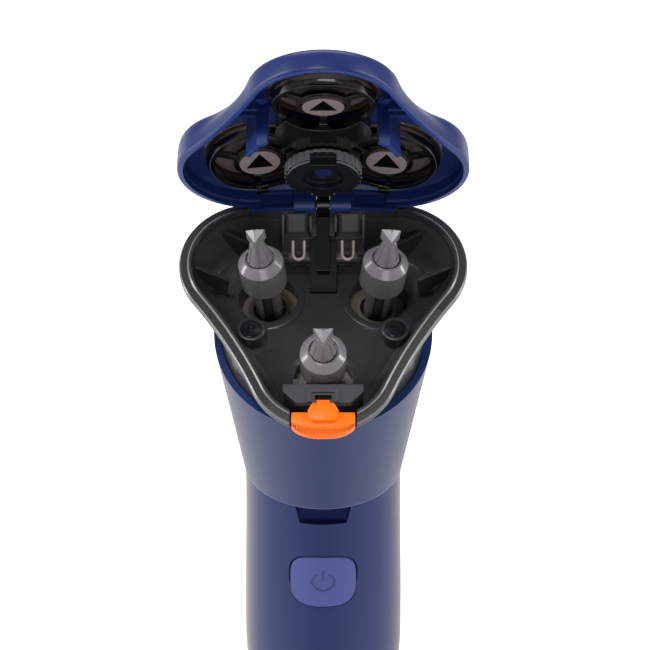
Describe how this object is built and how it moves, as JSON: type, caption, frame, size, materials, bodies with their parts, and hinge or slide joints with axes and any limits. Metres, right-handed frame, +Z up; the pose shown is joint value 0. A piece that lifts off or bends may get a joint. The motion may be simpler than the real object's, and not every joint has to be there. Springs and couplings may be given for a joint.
{
  "type": "electric shaver",
  "caption": "Rotary electric shaver with a slim upright handle and a lobed head whose lid is flipped open over the hair chamber and its drive spindles.",
  "frame": {"origin": "middle of the base's flat underside", "axes": "+Z up along the handle, -Y towards the front with the power button, +X to the shaver's right as drawn"},
  "size_m": [0.0602, 0.0573, 0.1915],
  "materials": {
    "handle_blue": "satin navy, fine texture",
    "lid_blue": "satin royal blue",
    "chamber_grey": "satin dark grey",
    "inner_grey": "dark grey, hidden",
    "black_plastic": "black",
    "knob_grey": "dark grey with bright edges",
    "screw_black": "black oxide",
    "plain_steel": "plain steel",
    "battery_green": "sleeved cell",
    "board_green": "solder mask",
    "seal_brown": "brownish seal",
    "release_orange": "bright orange",
    "power_violet": "violet blue",
    "gear_white": "natural acetal",
    "shaft_dark": "dark acetal",
    "spindle_grey": "smoky translucent grey",
    "guard_steel": "polished steel",
    "cutter_metal": "sintered steel"
  },
  "bodies": {
    "handle": {"front_shell": "handle_blue", "rear_shell": "handle_blue", "base_cap": "black_plastic", "base_screws": "plain_steel", "inlet_pins": "plain_steel", "battery": "battery_green", "battery_cradle": "inner_grey", "circuit_board": "board_green", "tact_switch": "black_plastic", "motor": "plain_steel", "motor_screws": "plain_steel", "collar": "handle_blue", "hair_chamber": "chamber_grey", "chamber_screws": "screw_black", "gear_housing": "inner_grey", "shaft_seals": "seal_brown", "hinge_bracket": "chamber_grey", "hinge_pin": "plain_steel", "hinge_tongue": "black_plastic", "hinge_springs": "plain_steel", "release_bracket": "chamber_grey"},
    "release_button": {"release_button": "release_orange"},
    "power_button": {"power_button": "power_violet"},
    "pinion": {"pinion": "plain_steel"},
    "gear_front": {"gear_front": "gear_white"},
    "gear_right": {"gear_right": "gear_white"},
    "gear_left": {"gear_left": "gear_white"},
    "shaft_front": {"shaft_front": "shaft_dark"},
    "shaft_right": {"shaft_right": "shaft_dark"},
    "shaft_left": {"shaft_left": "shaft_dark"},
    "cap_front": {"cap_front": "spindle_grey"},
    "cap_right": {"cap_right": "spindle_grey"},
    "cap_left": {"cap_left": "spindle_grey"},
    "lid": {"lid_shell": "lid_blue", "retaining_frame": "black_plastic"},
    "lock_knob": {"lock_knob": "knob_grey"},
    "guard_front": {"guard_front": "guard_steel"},
    "guard_right": {"guard_right": "guard_steel"},
    "guard_left": {"guard_left": "guard_steel"},
    "cutter_front": {"cutter_front": "cutter_metal"},
    "cutter_right": {"cutter_right": "cutter_metal"},
    "cutter_left": {"cutter_left": "cutter_metal"}
  },
  "joints": [
    {"name": "lid_hinge", "type": "hinge", "parent": "handle", "child": "lid", "pos_m": [0, 0.01897, 0.14081], "axis": [1, 0, 0], "range_deg": [0, 82.7]},
    {"name": "release_press", "type": "slide", "parent": "handle", "child": "release_button", "axis": [0, 0.9397, 0.342], "range_m": [0, 0.0012], "stiffness_N_per_m": 300},
    {"name": "power_press", "type": "slide", "parent": "handle", "child": "power_button", "axis": [0, 1, 0], "range_m": [0, 0.0008], "stiffness_N_per_m": 500},
    {"name": "motor_spin", "type": "hinge", "parent": "handle", "child": "pinion", "pos_m": [0, 0.00386, 0.11509], "axis": [0, -0.342, 0.9397], "continuous": true},
    {"name": "gear_front_spin", "type": "hinge", "parent": "handle", "child": "gear_front", "pos_m": [0, -0.00723, 0.11105], "axis": [0, -0.342, 0.9397], "continuous": true},
    {"name": "gear_right_spin", "type": "hinge", "parent": "handle", "child": "gear_right", "pos_m": [0.01022, 0.0094, 0.1171], "axis": [0, -0.342, 0.9397], "continuous": true},
    {"name": "gear_left_spin", "type": "hinge", "parent": "handle", "child": "gear_left", "pos_m": [-0.01022, 0.0094, 0.1171], "axis": [0, -0.342, 0.9397], "continuous": true},
    {"name": "spindle_front_spin", "type": "hinge", "parent": "handle", "child": "shaft_front", "pos_m": [0, -0.00913, 0.11334], "axis": [0, -0.4586, 0.8886], "continuous": true},
    {"name": "spindle_right_spin", "type": "hinge", "parent": "handle", "child": "shaft_right", "pos_m": [0.01109, 0.00891, 0.11991], "axis": [0.11, -0.2795, 0.9538], "continuous": true},
    {"name": "spindle_left_spin", "type": "hinge", "parent": "handle", "child": "shaft_left", "pos_m": [-0.01109, 0.00891, 0.11991], "axis": [-0.11, -0.2795, 0.9538], "continuous": true},
    {"name": "cap_front_plunge", "type": "slide", "parent": "shaft_front", "child": "cap_front", "axis": [0, 0.4586, -0.8886], "range_m": [0, 0.0066], "stiffness_N_per_m": 8},
    {"name": "cap_right_plunge", "type": "slide", "parent": "shaft_right", "child": "cap_right", "axis": [-0.11, 0.2795, -0.9538], "range_m": [0, 0.0066], "stiffness_N_per_m": 8},
    {"name": "cap_left_plunge", "type": "slide", "parent": "shaft_left", "child": "cap_left", "axis": [0.11, 0.2795, -0.9538], "range_m": [0, 0.0066], "stiffness_N_per_m": 8},
    {"name": "lock_turn", "type": "hinge", "parent": "lid", "child": "lock_knob", "pos_m": [0, 0.01157, 0.15297], "axis": [0, 0.8886, 0.4586], "range_deg": [0, 90]},
    {"name": "head_front_float", "type": "slide", "parent": "lid", "child": "guard_front", "axis": [0, -0.8231, -0.5678], "range_m": [0, 0.001], "stiffness_N_per_m": 600},
    {"name": "head_right_float", "type": "slide", "parent": "lid", "child": "guard_right", "axis": [-0.11, -0.9106, -0.3985], "range_m": [0, 0.001], "stiffness_N_per_m": 600},
    {"name": "head_left_float", "type": "slide", "parent": "lid", "child": "guard_left", "axis": [0.11, -0.9106, -0.3985], "range_m": [0, 0.001], "stiffness_N_per_m": 600},
    {"name": "cutter_front_spin", "type": "hinge", "parent": "guard_front", "child": "cutter_front", "pos_m": [0, 0.00462, 0.17655], "axis": [0, 0.8231, 0.5678], "continuous": true},
    {"name": "cutter_right_spin", "type": "hinge", "parent": "guard_right", "child": "cutter_right", "pos_m": [0.01329, 0.01517, 0.1561], "axis": [0.11, 0.9106, 0.3985], "continuous": true},
    {"name": "cutter_left_spin", "type": "hinge", "parent": "guard_left", "child": "cutter_left", "pos_m": [-0.01329, 0.01517, 0.1561], "axis": [-0.11, 0.9106, 0.3985], "continuous": true}
  ],
  "couplings": [
    {"joint": "gear_front_spin", "follows": "motor_spin", "ratio": -0.56667},
    {"joint": "gear_right_spin", "follows": "motor_spin", "ratio": -0.56667},
    {"joint": "gear_left_spin", "follows": "motor_spin", "ratio": -0.56667},
    {"joint": "spindle_front_spin", "follows": "motor_spin", "ratio": -0.56667},
    {"joint": "spindle_right_spin", "follows": "motor_spin", "ratio": -0.56667},
    {"joint": "spindle_left_spin", "follows": "motor_spin", "ratio": -0.56667},
    {"joint": "cap_front_plunge", "follows": "lid_hinge", "m_per_rad": 0.0044687},
    {"joint": "cap_right_plunge", "follows": "lid_hinge", "m_per_rad": 0.0044687},
    {"joint": "cap_left_plunge", "follows": "lid_hinge", "m_per_rad": 0.0044687},
    {"joint": "cutter_front_spin", "follows": "motor_spin", "ratio": -0.56667},
    {"joint": "cutter_right_spin", "follows": "motor_spin", "ratio": -0.56667},
    {"joint": "cutter_left_spin", "follows": "motor_spin", "ratio": -0.56667}
  ]
}
